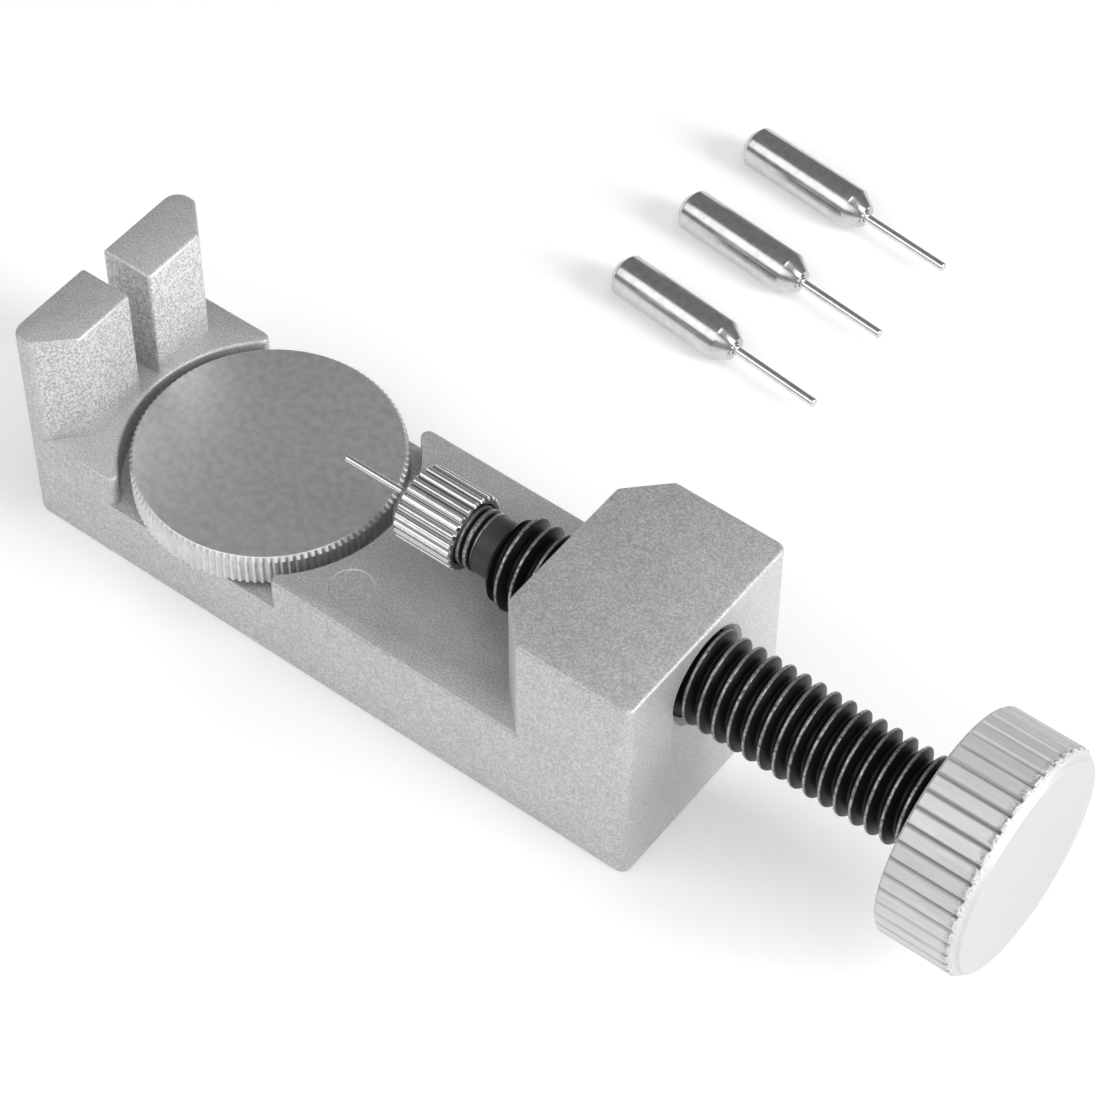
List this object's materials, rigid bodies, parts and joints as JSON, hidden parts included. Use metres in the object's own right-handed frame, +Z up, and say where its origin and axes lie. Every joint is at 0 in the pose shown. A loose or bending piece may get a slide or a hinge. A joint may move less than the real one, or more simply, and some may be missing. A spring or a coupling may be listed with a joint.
{
  "type": "watch bracelet link pin press",
  "caption": "Bench press with a slotted fork, a turning height disc and a knurled feed screw whose needle drives the link pins out of a watch bracelet; spare pins beside it.",
  "frame": {"origin": "centre of the casting's underside", "axes": "+X along the feed screw towards the knob, +Z up"},
  "size_m": [0.1115, 0.0901, 0.0309],
  "materials": {
    "cast_alloy": "bead-blasted casting, satin with a fine grain",
    "satin_disc": "satin",
    "turned_steel": "turned and polished",
    "needle_steel": "ground",
    "spring_steel": "oiled spring steel",
    "black_oxide": "black oxide, worn bright along the thread crests",
    "knob_alloy": "light satin, straight knurl",
    "chrome": "bright plating over flutes"
  },
  "bodies": {
    "casting": {"cast_frame": "cast_alloy"},
    "pin_unit": {"pin_plug": "turned_steel", "pin_needle": "needle_steel"},
    "screw": {"feed_screw": "black_oxide", "knob": "knob_alloy", "chuck_nut": "chrome"},
    "lift_ring": {"stem_ring": "spring_steel"},
    "disc": {"height_disc": "satin_disc", "disc_stem": "turned_steel"},
    "spare_1": {"spare_pin_plug_1": "turned_steel", "spare_pin_needle_1": "needle_steel"},
    "spare_2": {"spare_pin_plug_2": "turned_steel", "spare_pin_needle_2": "needle_steel"},
    "spare_3": {"spare_pin_plug_3": "turned_steel", "spare_pin_needle_3": "needle_steel"}
  },
  "joints": [
    {"name": "screw_feed", "type": "slide", "parent": "casting", "child": "pin_unit", "axis": [-1, 0, 0], "range_m": [-0.0102, 0.0263]},
    {"name": "screw_turn", "type": "hinge", "parent": "pin_unit", "child": "screw", "pos_m": [0, 0, 0.019], "axis": [-1, 0, 0], "range_deg": [-2173, 5580]},
    {"name": "disc_lift", "type": "slide", "parent": "casting", "child": "lift_ring", "axis": [0, 0, 1], "range_m": [-0.00025, 0.0012]},
    {"name": "disc_turn", "type": "hinge", "parent": "lift_ring", "child": "disc", "pos_m": [-0.016, 0, 0.01], "axis": [0, 0, 1], "range_deg": [-92, 434]},
    {"name": "spare_1_lift", "type": "slide", "parent": "casting", "child": "spare_1", "axis": [0, 0, 1], "range_m": [0, 0.015]},
    {"name": "spare_2_lift", "type": "slide", "parent": "casting", "child": "spare_2", "axis": [0, 0, 1], "range_m": [0, 0.015]},
    {"name": "spare_3_lift", "type": "slide", "parent": "casting", "child": "spare_3", "axis": [0, 0, 1], "range_m": [0, 0.015]}
  ],
  "couplings": [
    {"joint": "screw_turn", "follows": "screw_feed", "rad_per_m": 3696},
    {"joint": "disc_turn", "follows": "disc_lift", "rad_per_m": 6283.2}
  ]
}
